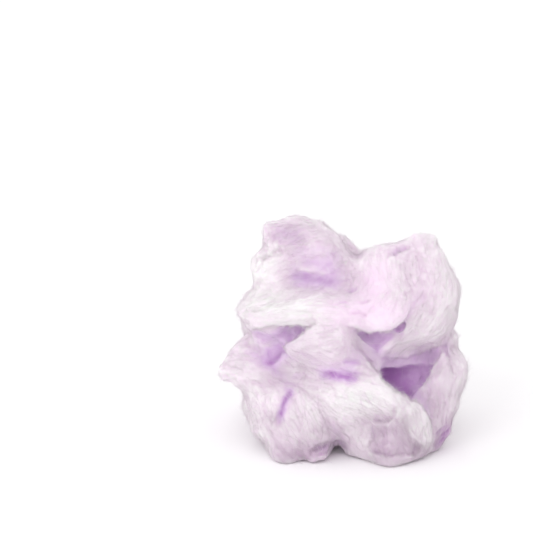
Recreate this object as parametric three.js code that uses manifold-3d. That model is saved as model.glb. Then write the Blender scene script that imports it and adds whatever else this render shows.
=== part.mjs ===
// A tuft of cotton candy: one soft, folded piece of spun sugar that stands on its own lower lobes.
// Millimetres, +Z up, +X to the right, -Y towards whoever looks at it. The origin lies under the middle of
// the tuft, on the surface that it stands on.
//
// The tuft is described by a distance field: how far a point lies outside the sugar, and below zero inside.
// Rounded lobes and tapered rolls are blended into one body, hollows and creases are pressed into it, and a
// net of small cells is then drawn over the place where the field is zero.
import * as THREE from 'three';
import { mergeVertices } from 'three/addons/utils/BufferGeometryUtils.js';
import Module from 'manifold-3d';

// Driving dimensions of the whole tuft.
const WIDTH = 115;
const DEPTH = 88;
const HEIGHT = 104;

// The net's cell, the empty margin round the tuft while it is drawn, and how deep a filled pinch lies inside.
const CELL = 3.4;
const MARGIN = 12;
const PINCH_DEPTH = 0.2;

// How far lobes melt into each other: soft inside the body, short where a fold shows, and shorter at a
// hollow's rim.
const SOFT = 6;
const FOLD = 2.5;
const RIM = 1.5;

// The uneven pull of the floss: slow waves that bend the lobes, and short ones that ruffle the surface.
const BEND_REACH = 1.2;
const BEND_WAVE = 34;
const RUFFLE_REACH = 0.45;
const RUFFLE_WAVE = 11;

// The two waves of the bend along each axis: where both start, and how much faster the second one runs.
const BENDS = {
  x: { starts: [1.3, 0.4], pace: 1.3 },
  y: { starts: [2.1, 3.0], pace: 1.2 },
  z: { starts: [0.7, 5.2], pace: 1.1 },
};

// The two sets of ruffles: how fast each runs along its own axis, how fast it wanders as it crosses the tuft,
// and how it fades in and out over the depth.
const RUFFLES = {
  across: { pace: 1, wander: 0.4, fade: 0.8, start: 1.7 },
  upward: { pace: 1.1, wander: 0.5, fade: 0.7, start: 4.1 },
};
const WANDER_REACH = 2;

const LILAC = 0xeadcf0;

// A place in the tuft: across and deep run from -1 to 1 over its width and depth, up runs from 0 to 1.
const place = (across, deep, up) =>
  new THREE.Vector3((across * WIDTH) / 2, (deep * DEPTH) / 2, up * HEIGHT);

// A rounded lobe with half-sizes along X, Y and Z, rolled about Y and pitched about X, in degrees.
function lobe(centre, [rx, ry, rz], { roll = 0, pitch = 0, blend = FOLD } = {}) {
  const { degToRad } = THREE.MathUtils;
  const tilt = new THREE.Euler(degToRad(pitch), degToRad(roll), 0);
  const untilt = new THREE.Quaternion().setFromEuler(tilt).invert();
  const local = new THREE.Vector3();
  const distance = (point) => {
    local.copy(point).sub(centre).applyQuaternion(untilt);
    const size = Math.hypot(local.x / rx, local.y / ry, local.z / rz);
    const slope = Math.hypot(local.x / rx ** 2, local.y / ry ** 2, local.z / rz ** 2);
    return slope === 0 ? -Math.min(rx, ry, rz) : (size * (size - 1)) / slope;
  };
  return { distance, blend };
}

// A tapered roll of floss from one place to another, its radius running from one value to the other.
function roll(from, to, fromRadius, toRadius, { blend = FOLD } = {}) {
  const along = to.clone().sub(from);
  const reach = new THREE.Vector3();
  const distance = (point) => {
    reach.copy(point).sub(from);
    const share = THREE.MathUtils.clamp(reach.dot(along) / along.lengthSq(), 0, 1);
    const radius = THREE.MathUtils.lerp(fromRadius, toRadius, share);
    return reach.addScaledVector(along, -share).length() - radius;
  };
  return { distance, blend };
}

// Rolls laid end to end through several places, each place with its own radius.
const fold = (stops, options) =>
  stops.slice(1).map(([to, radius], n) => roll(stops[n][0], to, stops[n][1], radius, options));

// A long dent, or a ridge where the depth is below zero, that fades out over its width.
function crease(from, to, width, depth) {
  const line = roll(from, to, 0, 0);
  return (point) => depth * Math.exp(-((line.distance(point) / width) ** 2));
}

// The body that all else is blended into.
const heart = [lobe(place(0, 0.04, 0.46), [41, 32, 40], { blend: SOFT })];

const top = [
  // The crown on the left, and the flatter roll that it lies on.
  lobe(place(-0.33, 0.06, 0.825), [17, 22, 18], { roll: 8 }),
  lobe(place(-0.45, 0.0, 0.88), [10, 13, 10], { blend: SOFT }),
  lobe(place(-0.47, -0.02, 0.76), [14, 18, 12], { blend: SOFT }),
  lobe(place(-0.18, 0.0, 0.775), [16, 20, 13.5], { roll: 16, blend: SOFT }),
  lobe(place(-0.4, -0.22, 0.605), [24.5, 22, 12.5], { roll: -3 }),
  lobe(place(-0.1, -0.3, 0.65), [22, 19, 9], { roll: 6, blend: SOFT }),
  // The saddle, and the tongue of floss that hangs forward from it.
  lobe(place(0.3, 0.06, 0.7), [21, 25, 14], { roll: -10, blend: SOFT }),
  lobe(place(0.28, -0.4, 0.715), [18, 11, 22], { pitch: -38, blend: SOFT }),
  // The ridge on the right with its peak, and the curl at its foot.
  lobe(place(0.63, -0.05, 0.67), [13, 28, 24], { roll: -2 }),
  ...fold([[place(0.5, 0.0, 0.78), 12], [place(0.58, 0.02, 0.88), 6]], { blend: SOFT }),
  lobe(place(0.56, -0.3, 0.56), [17, 18, 9], { roll: -12, blend: SOFT }),
];

const middle = [
  // The belly, and the slope that falls from it to the lower right.
  lobe(place(-0.12, -0.42, 0.49), [22, 20, 16], { roll: 6 }),
  lobe(place(0.06, -0.5, 0.37), [22, 18, 13], { roll: 42, blend: SOFT }),
  lobe(place(0.36, -0.5, 0.24), [20, 19, 13], { roll: 50, blend: SOFT }),
  // The arm that reaches out to the left.
  lobe(place(-0.69, -0.2, 0.34), [16, 16, 11.5], { roll: -16 }),
  lobe(place(-0.88, -0.22, 0.315), [7, 9, 6], { roll: -10 }),
  // The cheek on the right.
  lobe(place(0.735, -0.14, 0.32), [14, 23, 22], { roll: -3 }),
];

// The two lobes that the tuft stands on, each fuller at the floor, with the bulge and the fill between them,
// the small lobe on the right one and the nub on the left one.
const foot = [
  lobe(place(-0.4, -0.26, 0.18), [23.5, 25, 20], { roll: 10 }),
  lobe(place(-0.38, -0.46, 0.08), [20.5, 19.5, 13.5], { blend: SOFT }),
  lobe(place(0.0, -0.54, 0.21), [19, 17, 17], { blend: SOFT }),
  lobe(place(-0.03, -0.28, 0.08), [13, 19, 12], { blend: SOFT }),
  lobe(place(0.38, -0.26, 0.165), [27, 25, 18.5]),
  lobe(place(0.38, -0.52, 0.08), [25, 21, 14], { blend: SOFT }),
  lobe(place(0.33, -0.8, 0.11), [9, 6, 7]),
  lobe(place(-0.2, -0.76, 0.04), [7, 6, 5]),
];

// The side that faces away: two lobes above, one below them in the middle, one at the left and two on the
// floor.
const back = [
  lobe(place(-0.2, 0.42, 0.7), [25, 20, 17]),
  lobe(place(0.54, 0.42, 0.55), [18, 22, 21]),
  lobe(place(-0.52, 0.42, 0.45), [18, 21, 20]),
  lobe(place(0.08, 0.7, 0.42), [24, 13, 20]),
  lobe(place(-0.42, 0.46, 0.18), [24, 21, 20]),
  lobe(place(0.42, 0.46, 0.17), [27, 21, 19]),
];

const hollows = [
  // Under the tongue's lip.
  lobe(place(0.27, -0.78, 0.53), [9.5, 14, 4.5], { roll: -4 }),
  // The deep one between the curl, the belly's rim and the cheek.
  lobe(place(0.49, -0.68, 0.375), [15, 20, 5.5], { roll: -10 }),
  lobe(place(0.52, -0.66, 0.32), [8, 18, 7]),
  // Under the roll on the left, and the set-back patch beside it.
  lobe(place(-0.42, -0.72, 0.56), [6, 9, 3], { roll: 8 }),
  lobe(place(-0.6, -0.7, 0.47), [8, 14, 9]),
];

const rims = [
  // The belly's rim, falling from the tongue to the lower right.
  ...fold(
    [
      [place(-0.04, -0.68, 0.57), 4.5],
      [place(0.05, -0.74, 0.43), 4.5],
      [place(0.3, -0.8, 0.28), 5],
      [place(0.54, -0.76, 0.14), 6],
    ],
    { blend: SOFT },
  ),
  // The tongue's torn lip, turning up its right side.
  ...fold(
    [
      [place(0.08, -0.62, 0.65), 4],
      [place(0.27, -0.72, 0.63), 4.5],
      [place(0.44, -0.6, 0.67), 4],
      [place(0.54, -0.46, 0.74), 3],
    ],
    { blend: SOFT },
  ),
  // The tip that the cheek is drawn up to.
  ...fold([[place(0.74, -0.42, 0.3), 8], [place(0.79, -0.5, 0.45), 3]], { blend: SOFT }),
];

const creases = [
  // Across the crown's foot, and between the crown and the tongue.
  crease(place(-0.5, -0.42, 0.77), place(0.02, -0.4, 0.755), 5, 2.4),
  crease(place(0.06, -0.5, 0.8), place(0.1, -0.6, 0.66), 4, 1.6),
  // Across the belly, down the lower left lobe, down the cheek and over the lower right lobe.
  crease(place(-0.2, -0.9, 0.42), place(0.12, -0.86, 0.4), 4.5, 2.4),
  crease(place(-0.42, -0.86, 0.34), place(-0.52, -0.8, 0.16), 4.5, 3),
  crease(place(0.7, -0.9, 0.26), place(0.76, -0.7, 0.06), 4, 2.4),
  crease(place(0.22, -0.98, 0.19), place(0.44, -0.98, 0.19), 4, 2),
];

const [deepest, ...others] = [...heart, ...top, ...middle, ...foot, ...back];

// The lower of two distances, rounded where they are within the blend of each other.
function melt(a, b, blend) {
  const share = Math.max(blend - Math.abs(a - b), 0) / blend;
  return Math.min(a, b) - (share * share * blend) / 4;
}

// A point, moved by the slow waves.
function bend(point) {
  const turn = (2 * Math.PI) / BEND_WAVE;
  const sway = (first, second, { starts, pace }) =>
    Math.sin(first * turn + starts[0]) + Math.sin(second * turn * pace + starts[1]);
  const { x, y, z } = point;
  const pull = new THREE.Vector3(sway(y, z, BENDS.x), sway(z, x, BENDS.y), sway(x, y, BENDS.z));
  return pull.multiplyScalar(BEND_REACH).add(point);
}

// How far the ruffles raise or lower the surface at a point.
function ruffle({ x, y, z }) {
  const turn = (2 * Math.PI) / RUFFLE_WAVE;
  const waves = (along, crossing, { pace, wander, fade, start }) =>
    Math.sin(along * turn * pace + WANDER_REACH * Math.sin(crossing * turn * wander)) *
    Math.sin(y * turn * fade + start);
  return RUFFLE_REACH * (waves(x, z, RUFFLES.across) + waves(z, x, RUFFLES.upward));
}

// Distance from a point to the surface of the tuft, below zero inside it. The rims come after the hollows, so
// that each one keeps a clean edge over the hollow beside it.
function field(point) {
  const bent = bend(point);
  let distance = deepest.distance(bent);
  for (const piece of others) distance = melt(distance, piece.distance(bent), piece.blend);
  for (const hollow of hollows) distance = -melt(-distance, hollow.distance(bent), RIM);
  for (const rim of rims) distance = melt(distance, rim.distance(bent), rim.blend);
  for (const dent of creases) distance += dent(bent);
  return distance + ruffle(point);
}

// Draws a net over the field's zero surface between two corners: one knot in each cell that the surface
// crosses, at the middle of its crossings, and two triangles round each crossed edge between cells.
function drawNet(low, high) {
  const steps = [[1, 0, 0], [0, 1, 0], [0, 0, 1]];
  const counts = high.clone().sub(low).divideScalar(CELL).ceil().addScalar(1).toArray();
  const index = ([i, j, k]) => (k * counts[1] + j) * counts[0] + i;
  const shift = (cell, step, times = 1) => cell.map((value, n) => value + step[n] * times);
  const corner = (cell) => new THREE.Vector3(...cell).multiplyScalar(CELL).add(low);
  const cells = [];
  for (let k = 0; k < counts[2]; k++)
    for (let j = 0; j < counts[1]; j++)
      for (let i = 0; i < counts[0]; i++) cells.push([i, j, k]);
  const values = cells.map((cell) => field(corner(cell)));
  const crosses = (from, to) => values[index(from)] < 0 !== values[index(to)] < 0;
  const sidesOf = (axis) => [steps[(axis + 1) % 3], steps[(axis + 2) % 3]];

  // Where a face of a cell is inside at two corners across its diagonal and outside at the other two, the net
  // would meet itself along an edge, so the nearer of the outer corners is filled.
  function fillPinches() {
    let filled = 0;
    for (const cell of cells)
      steps.forEach((step, axis) => {
        const [one, two] = sidesOf(axis);
        const across = shift(shift(cell, one), two);
        if (across.some((value, n) => value === counts[n])) return;
        const ring = [cell, shift(cell, one), across, shift(cell, two)].map(index);
        const inside = ring.map((n) => values[n] < 0);
        if (inside[0] !== inside[2] || inside[1] !== inside[3] || inside[0] === inside[1]) return;
        const [nearer] = ring.filter((n) => values[n] >= 0).sort((a, b) => values[a] - values[b]);
        values[nearer] = -PINCH_DEPTH;
        filled++;
      });
    return filled;
  }
  let filled = fillPinches();
  while (filled > 0) filled = fillPinches();

  // The twelve edges of a cell: along each axis, from the four corners of its near face.
  const edges = steps.flatMap((step, axis) => {
    const [one, two] = sidesOf(axis);
    const starts = [[0, 0], [1, 0], [0, 1], [1, 1]];
    return starts.map(([u, v]) => [shift(shift([0, 0, 0], one, u), two, v), step]);
  });
  const positions = [];
  const knots = new Map();
  for (const cell of cells) {
    if (cell.some((value, n) => value === counts[n] - 1)) continue;
    const crossings = [];
    for (const [start, step] of edges) {
      const from = shift(cell, start);
      const to = shift(from, step);
      if (!crosses(from, to)) continue;
      const share = values[index(from)] / (values[index(from)] - values[index(to)]);
      crossings.push(corner(from).lerp(corner(to), share));
    }
    if (!crossings.length) continue;
    knots.set(index(cell), positions.length / 3);
    const middleOf = crossings.reduce((sum, crossing) => sum.add(crossing), new THREE.Vector3());
    positions.push(...middleOf.divideScalar(crossings.length).toArray());
  }

  const triangles = [];
  for (const cell of cells)
    steps.forEach((step, axis) => {
      const next = shift(cell, step);
      if (next[axis] === counts[axis] || !crosses(cell, next)) return;
      const [one, two] = sidesOf(axis);
      const ring = [[0, 0], [1, 0], [1, 1], [0, 1]].map(([u, v]) =>
        knots.get(index(shift(shift(cell, one, -u), two, -v))),
      );
      if (values[index(next)] < 0) ring.reverse();
      triangles.push(ring[0], ring[1], ring[2], ring[0], ring[2], ring[3]);
    });
  return { positions, triangles };
}

const wasm = await Module();
wasm.setup();

const solidOf = (positions, triangles) =>
  new wasm.Manifold(
    new wasm.Mesh({
      numProp: 3,
      vertProperties: Float32Array.from(positions),
      triVerts: Uint32Array.from(triangles),
    }),
  );

function boxSolid(width, depth, height, z) {
  const box = new THREE.BoxGeometry(width, depth, height).translate(0, 0, z);
  box.deleteAttribute('normal');
  box.deleteAttribute('uv');
  const merged = mergeVertices(box);
  return solidOf(merged.attributes.position.array, merged.index.array);
}

// The tuft as its weight leaves it: what would be under the floor is pressed flat. Air pockets that the folds
// close off are filled.
function standing() {
  const low = new THREE.Vector3(-WIDTH / 2, -DEPTH / 2, 0).subScalar(MARGIN);
  const high = new THREE.Vector3(WIDTH / 2, DEPTH / 2, HEIGHT).addScalar(MARGIN);
  const { positions, triangles } = drawNet(low, high);
  const underFloor = boxSolid(WIDTH * 2, DEPTH * 2, HEIGHT, -HEIGHT / 2);
  const pieces = solidOf(positions, triangles).subtract(underFloor).decompose();
  return pieces.reduce((whole, piece) => (piece.volume() > whole.volume() ? piece : whole));
}

// Fits the tuft to its driving dimensions, with the origin under the middle of its box.
function fitted(solid) {
  const { min, max } = solid.boundingBox();
  const size = [WIDTH, DEPTH, HEIGHT].map((length, axis) => length / (max[axis] - min[axis]));
  return solid.translate([-(min[0] + max[0]) / 2, -(min[1] + max[1]) / 2, -min[2]]).scale(size);
}

function tuftGeometry() {
  const mesh = fitted(standing()).getMesh();
  const geometry = new THREE.BufferGeometry();
  geometry.setAttribute('position', new THREE.BufferAttribute(mesh.vertProperties, 3));
  geometry.setIndex(new THREE.BufferAttribute(mesh.triVerts, 1));
  geometry.computeVertexNormals();
  return geometry;
}

// Lilac floss: pale, matt and even in the solid.
const floss = new THREE.MeshStandardMaterial({ color: LILAC, roughness: 0.95, metalness: 0 });

const cottonCandy = new THREE.Mesh(tuftGeometry(), floss);
cottonCandy.name = 'cotton_candy';

const group = new THREE.Group();
group.add(cottonCandy);

export default group;
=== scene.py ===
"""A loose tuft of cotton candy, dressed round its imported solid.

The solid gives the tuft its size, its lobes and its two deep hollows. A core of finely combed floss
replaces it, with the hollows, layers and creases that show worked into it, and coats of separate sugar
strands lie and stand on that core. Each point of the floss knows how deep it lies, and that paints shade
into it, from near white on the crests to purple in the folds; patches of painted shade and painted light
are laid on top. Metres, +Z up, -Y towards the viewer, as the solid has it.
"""

import itertools
import logging
import math
from dataclasses import dataclass, field
from enum import Enum

import bpy
import numpy as np
from mathutils import Euler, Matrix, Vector
from mathutils.bvhtree import BVHTree
from mathutils.kdtree import KDTree


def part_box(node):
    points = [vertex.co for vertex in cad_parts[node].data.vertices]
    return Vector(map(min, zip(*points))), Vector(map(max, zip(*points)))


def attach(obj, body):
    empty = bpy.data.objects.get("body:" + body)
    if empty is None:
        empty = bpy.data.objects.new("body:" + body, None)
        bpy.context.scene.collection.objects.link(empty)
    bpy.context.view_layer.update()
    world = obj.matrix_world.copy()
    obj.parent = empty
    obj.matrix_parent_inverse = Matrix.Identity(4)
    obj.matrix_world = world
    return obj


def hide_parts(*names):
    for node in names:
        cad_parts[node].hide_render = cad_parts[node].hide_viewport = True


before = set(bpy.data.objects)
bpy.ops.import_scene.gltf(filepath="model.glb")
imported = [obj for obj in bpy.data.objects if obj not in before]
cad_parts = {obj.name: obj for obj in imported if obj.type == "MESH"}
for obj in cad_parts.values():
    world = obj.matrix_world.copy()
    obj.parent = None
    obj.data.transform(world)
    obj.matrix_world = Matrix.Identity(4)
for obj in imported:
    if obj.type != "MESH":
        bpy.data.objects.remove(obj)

LOG = logging.getLogger("cotton_candy")
NODE = "cotton_candy"
BODY = "root"
MM = 0.001
PIXEL = 0.457 * MM
SEED = 11
TINY = 1e-12
LOW, HIGH = (np.array(corner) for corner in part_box(NODE))
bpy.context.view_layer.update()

Pixel = tuple[float, float]
Place = tuple[float, float, float]
Colour = tuple[float, float, float]


def linear(shade: Colour) -> tuple[float, float, float, float]:
    """Turn a colour from 0 to 1, as a screen shows it, into the linear colour that a shader takes."""
    parts = [c / 12.92 if c <= 0.04045 else ((c + 0.055) / 1.055) ** 2.4 for c in shade]
    return (*parts, 1.0)


def unit(vectors: np.ndarray) -> np.ndarray:
    """Scale each row to length one."""
    return vectors / np.maximum(np.linalg.norm(vectors, axis=-1, keepdims=True), TINY)


def spot(across: float, deep: float, up: float) -> np.ndarray:
    """Find a place in the tuft's box: -1 to 1 over its width and its depth, and 0 to 1 over its height."""
    share = np.array([(across + 1) / 2, (deep + 1) / 2, up])
    return LOW + (HIGH - LOW) * share


def eased(values: np.ndarray) -> np.ndarray:
    """Ease values from 0 to 1, flat at both ends and outside them."""
    held = np.clip(values, 0, 1)
    return held * held * (3 - 2 * held)


def deselect() -> None:
    """Clear the selection, so that an operator acts on nothing by chance."""
    bpy.ops.object.select_all(action="DESELECT")


def activate(piece: bpy.types.Object) -> None:
    """Select one object alone and make it the active one.

    Args:
        piece: the object that the next operators act on.
    """
    deselect()
    piece.select_set(True)
    bpy.context.view_layer.objects.active = piece


def carry(mesh: bpy.types.Mesh, name: str, values: np.ndarray) -> None:
    """Store one value a point on a mesh, under the name that the finish reads it by."""
    layer = mesh.attributes.new(name=name, type="FLOAT", domain="POINT")
    layer.data.foreach_set("value", values.astype(np.float32))


class Noise:
    """Smooth gradient noise through space, the same on every run."""

    CELLS = 256
    STRETCH = 1.7

    def __init__(self, seed: int) -> None:
        """Shuffle the table of slopes.

        Args:
            seed: the start of the random draw.
        """
        draw = np.random.default_rng(seed)
        self.table = draw.permutation(self.CELLS)
        self.slopes = unit(draw.normal(size=(self.CELLS, 3)))

    def at(self, points: np.ndarray, wave: float) -> np.ndarray:
        """Read the noise, roughly from -1 to 1.

        Args:
            points: rows of places in metres.
            wave: the length of one cell in metres.

        Returns:
            One value a row.
        """
        scaled = points / wave
        cell = np.floor(scaled).astype(int)
        part = scaled - cell
        fade = part**3 * (part * (part * 6 - 15) + 10)
        total = np.zeros(len(points))
        for corner in itertools.product((0, 1), repeat=3):
            x, y, z = (cell + corner).T % self.CELLS
            slope = self.slopes[self.table[(self.table[(self.table[x] + y) % self.CELLS] + z) % self.CELLS]]
            weight = np.prod(np.where(corner, fade, 1 - fade), axis=1)
            total += weight * ((part - corner) * slope).sum(axis=1)
        return total * self.STRETCH

    def drawn(
        self, points: np.ndarray, along: np.ndarray, wave: float, reach: float, taps: int = 9
    ) -> np.ndarray:
        """Read the noise drawn out along a direction, with a spread of one.

        Args:
            points: rows of places in metres.
            along: the direction at each.
            wave: the length of one cell in metres.
            reach: how far it is drawn out to each side.
            taps: how many readings are averaged.

        Returns:
            One value a row.
        """
        total = np.zeros(len(points))
        for step in np.linspace(-reach, reach, taps):
            total += self.at(points + along * step, wave)
        return total / max(total.std(), TINY)


@dataclass(frozen=True)
class View:
    """The camera, and the lines of sight that it sees the tuft along."""

    place: Place = (-0.035, -1.085, 0.428)
    down_deg: float = 17.8
    spin_deg: float = 0.0
    lens_mm: float = 170.0
    sensor_mm: float = 36.0
    frame_px: float = 533.0

    def turn(self) -> Euler:
        """Give the camera's rotation."""
        return Euler((math.radians(90 - self.down_deg), 0, math.radians(self.spin_deg)))

    def axes(self) -> np.ndarray:
        """Give the camera's right, up and backward directions as columns."""
        return np.array(self.turn().to_matrix())

    def ray(self, pixel: Pixel) -> tuple[Vector, Vector]:
        """Follow the line of sight through a pixel of the frame.

        Args:
            pixel: across and down in the 533-pixel frame.

        Returns:
            Where the line starts and its direction.
        """
        half = self.frame_px / 2
        scale = self.sensor_mm / self.lens_mm / self.frame_px
        local = Vector(((pixel[0] - half) * scale, (half - pixel[1]) * scale, -1))
        return Vector(self.place), (self.turn().to_matrix() @ local).normalized()

    def pixels(self, points: np.ndarray) -> np.ndarray:
        """Find where places show in the frame.

        Args:
            points: rows of places.

        Returns:
            Rows of across and down.
        """
        local = (points - np.array(self.place)) @ self.axes()
        scale = self.lens_mm / self.sensor_mm * self.frame_px
        half = self.frame_px / 2
        across = half - local[:, 0] / local[:, 2] * scale
        down = half + local[:, 1] / local[:, 2] * scale
        return np.stack([across, down], axis=1)

    def build(self) -> None:
        """Make the camera and let the scene use it."""
        deselect()
        bpy.ops.object.camera_add(location=self.place, rotation=self.turn())
        camera = bpy.context.object
        camera.data.lens = self.lens_mm
        camera.data.sensor_width = self.sensor_mm
        bpy.context.scene.camera = camera


@dataclass(frozen=True)
class Crease:
    """A line pressed into the floss, or a thread drawn up where the depth is below zero."""

    name: str
    stops: tuple[Pixel | Place, ...]
    width_mm: float
    depth_mm: float
    # Painted shade along the line; below zero, a paler thread.
    stain: float


@dataclass(frozen=True)
class Layer:
    """A layer of floss that ends in an edge over the one behind it, and lies on the left of that edge."""

    name: str
    stops: tuple[Pixel, ...]
    rise_mm: float
    fade_mm: float
    drop_mm: float
    reach_mm: float
    # Painted shade behind the edge.
    stain: float


@dataclass(frozen=True)
class Pit:
    """A hollow with a sharp outline.

    Its floor is so many mm nearer to the camera than the tuft's middle, and leans by so many mm a pixel.
    """

    name: str
    stops: tuple[Pixel, ...]
    floor_mm: float
    lean_mm: Pixel
    soft_px: float
    # Painted shade inside the hollow; below zero, paler.
    stain: float

    def cover(self, gap: np.ndarray) -> np.ndarray:
        """Tell from the gap to the outline how far a place lies in the hollow, from 0 to 1."""
        return eased((gap + self.soft_px) / (2 * self.soft_px))


@dataclass(frozen=True)
class Bank:
    """Floss that fills a gap.

    Its front is so many mm nearer to the camera than the tuft's middle, and leans by so many mm a pixel.
    Each ring is so many mm behind the front, and as wide as that share of the outline.
    """

    name: str
    stops: tuple[Pixel, ...]
    front_mm: float
    lean_mm: Pixel
    rings: tuple[tuple[float, float], ...] = ((0.0, 0.7), (1.2, 0.88), (3.5, 1.0), (22.0, 1.0))


@dataclass(frozen=True)
class Tint:
    """A patch where the floss is deeper in colour, pinker, darker in painted mauve shade or more frayed than
    its place makes it. The deeper colour is partly its own lilac, partly painted shade.

    Below zero, the deeper colour and the painted shade turn into paler paint: painted light.
    """

    name: str
    stops: tuple[Pixel | Place, ...]
    reach_mm: float
    stain: float = 0.0
    blush: float = 0.0
    # Painted mauve shade; below zero, painted light.
    damp: float = 0.0
    fray: float = 0.0


@dataclass(frozen=True)
class Nudge:
    """A push on the outline at a pixel: so many mm to the right, back and up."""

    name: str
    pixel: Pixel
    reach_px: float
    push_mm: Place


@dataclass(frozen=True)
class Comb:
    """A stretch of floss and the way its strands run there."""

    start: Pixel | Place
    end: Pixel | Place
    reach_mm: float = 14


@dataclass(frozen=True)
class Side:
    """What is worked into the floss as one camera sees it."""

    view: View
    banks: tuple[Bank, ...]
    pits: tuple[Pit, ...]
    layers: tuple[Layer, ...]
    creases: tuple[Crease, ...]
    tints: tuple[Tint, ...]
    nudges: tuple[Nudge, ...]


# Two numbers are a pixel of the 533-pixel frame, dropped onto the floss along its line of sight. Three
# numbers are a place in the tuft's box, moved to the nearest floss.
CREASES = (
    Crease("crown groove", ((284, 276), (304, 278.5), (322, 281), (345, 284)), 2.4, 1.0, 0.37),
    Crease("crown fold", ((296, 262), (318, 263), (338, 266)), 2.6, 0.6, 0.14),
    Crease("crown thread", ((294, 269.5), (312, 271), (332, 274)), 1.2, -0.7, -0.2),
    Crease("shoulder wrinkle", ((347, 292), (352, 289), (357, 287)), 1.0, 0.8, 0.32),
    Crease("shoulder line", ((337, 300.5), (343, 300.8), (350, 300.5)), 0.9, 0.6, 0.28),
    Crease("tongue wrinkle", ((359, 303.5), (364, 301), (371, 299.6)), 0.8, 0.5, 0.18),
    Crease("lip wrinkle", ((349, 313.5), (357, 312.5), (362, 313.5), (369, 316.5)), 0.8, 0.6, 0.22),
    Crease("saddle crease", ((389, 256), (397, 250), (404, 247), (412, 244)), 2.6, 1.2, 0.34),
    Crease("tongue side", ((405.5, 290), (407, 297)), 0.9, 0.5, 0.14),
    Crease("curl thread", ((405, 329), (402, 334), (399, 337)), 0.8, 0.5, 0.2),
    Crease("patch fork", ((265, 349), (269, 357), (270.5, 366)), 1.3, 0.7, 0.22),
    Crease("patch branch", ((284, 354), (277, 358), (271, 365)), 1.0, 0.6, 0.2),
    Crease("belly groove upper", ((341, 361), (349, 362.5), (356, 362.5), (362, 364)), 1.1, 0.8, 0.3),
    Crease("belly groove lower", ((316, 376), (330, 374.6), (344, 376.8), (352, 378), (363, 380.6)), 1.8,
           1.3, 0.8),
    Crease("belly thread one", ((352, 367), (359, 368), (363, 365.5)), 0.8, -0.5, -0.1),
    Crease("belly thread two", ((354, 385), (363, 384), (371, 383)), 0.8, -0.5, -0.1),
    Crease("belly line", ((352, 372), (362, 374), (372, 377)), 0.7, 0.5, 0.14),
    Crease("left lobe crease", ((293.5, 385.5), (290, 390), (287.5, 397), (283, 407), (280, 417),
           (277, 430)), 1.4, 1.5, 0.8),
    Crease("left edge fold", ((247, 396), (246.5, 406), (250, 416)), 1.4, 0.8, 0.22),
    Crease("arm wrinkle", ((250, 382), (258, 384), (266, 387)), 1.0, 0.5, 0.14),
    Crease("small lobe squiggle", ((390, 442), (388.5, 446), (391, 450)), 0.8, -0.6, -0.12),
    Crease("nub crinkle one", ((313, 451), (319, 448), (326, 447), (331, 444)), 0.9, 0.9, 0.2),
    Crease("nub crinkle two", ((316, 455), (324, 454), (331, 450)), 0.8, 0.7, 0.16),
    Crease("ridge line", ((419, 402), (426, 411), (431, 422), (433, 434), (431.5, 446)), 0.8, 0.9, 0.3),
    Crease("foot nook", ((415, 446), (419, 448.5), (423, 452)), 1.5, 1.0, 0.3),
    Crease("corner crinkle one", ((440, 444), (447, 438), (453, 431)), 0.9, 1.2, 0.35),
    Crease("corner crinkle two", ((441, 439), (447, 433), (452, 426)), 0.8, 1.1, 0.3),
    Crease("corner crinkle three", ((437, 436), (443, 430), (447, 424)), 0.7, 0.8, 0.2),
)

LAYERS = (
    Layer("tongue lip", ((345, 324), (352, 327), (359, 330.6), (369.4, 333.1), (379.8, 332.3), (390, 331),
          (394.4, 327), (399, 324.5), (403.5, 321), (409, 312), (414, 301)), 1.6, 7, 0.8, 3, 0.2),
    Layer("shoulder roll", ((242, 331), (251, 330), (262, 328), (273, 327), (284, 326), (296, 326),
          (306, 327), (320, 323)), 1.2, 7, 0.8, 4, 0.14),
    Layer("belly brow", ((322, 322), (313, 325), (304.5, 330), (297.5, 337.5), (289, 342), (285, 346),
          (285.5, 352), (281, 356), (272, 366)), 1.3, 6, 0.8, 3.5, 0.16),
    Layer("belly rim", ((413.4, 400.5), (410.5, 397.3), (403, 394), (395.3, 391), (390, 386), (383, 380.6),
          (379.8, 373), (372, 366), (366, 357), (360, 346)), 1.5, 6, 1.0, 3, 0.12),
    Layer("bright ridge", ((428, 451), (431, 443), (432.6, 430), (430.6, 420), (425.4, 411), (421, 404),
          (413.4, 400.5), (406, 398)), 1.9, 7, 1.0, 3, 0.26),
    Layer("bright ridge edge", ((406.5, 412), (406.5, 420), (407.5, 429), (411, 438), (418, 443),
          (426, 448)), 0.9, 4, 0.7, 3, 0.1),
    Layer("cheek edge", ((443.5, 350), (438, 359), (432.5, 368), (427, 380), (419.5, 387), (414, 394)), 1.3,
          6, 0.4, 2, 0.08),
    Layer("cheek tip", ((454, 378), (451, 367), (448, 357), (443.5, 350)), 1.0, 5, 0.8, 3, 0.12),
    Layer("small lobe", ((394.4, 418), (390, 421.5), (383.2, 422), (378, 423.5), (371, 422)), 0.9, 6, 0.7,
          4, 0.17),
    Layer("small lobe side", ((397.5, 404), (396, 411), (394.4, 418)), 0.7, 4, 0.5, 2, 0.14),
    Layer("bottom roll", ((424, 449), (418, 453), (412.5, 455.4), (404, 455.1), (395.3, 456.9),
          (386.7, 457.1), (380, 454.7), (372, 453), (366, 449)), 0.9, 4, 0.9, 2, 0.26),
    Layer("small lobe left", ((366, 449), (371, 438), (372, 424)), 0.6, 5, 0.6, 3, 0.12),
    Layer("crown ledge", ((255, 259), (266, 256), (276, 251), (281, 245)), 0.9, 6, 0.6, 4, 0.05),
    Layer("curl roll", ((377, 353), (392, 359), (408, 358), (425, 353), (440, 346), (455, 342)), 0.5, 8,
          0.4, 6, 0.1),
    Layer("nub edge", ((309, 458), (310, 450), (317, 445), (327, 442), (335, 443)), 0.8, 3, 0.7, 2, 0.1),
    Layer("saddle ledge", ((414, 246), (404, 249), (394, 254), (385, 261)), 0.6, 5, 0.4, 3, 0.04),
)

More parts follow.
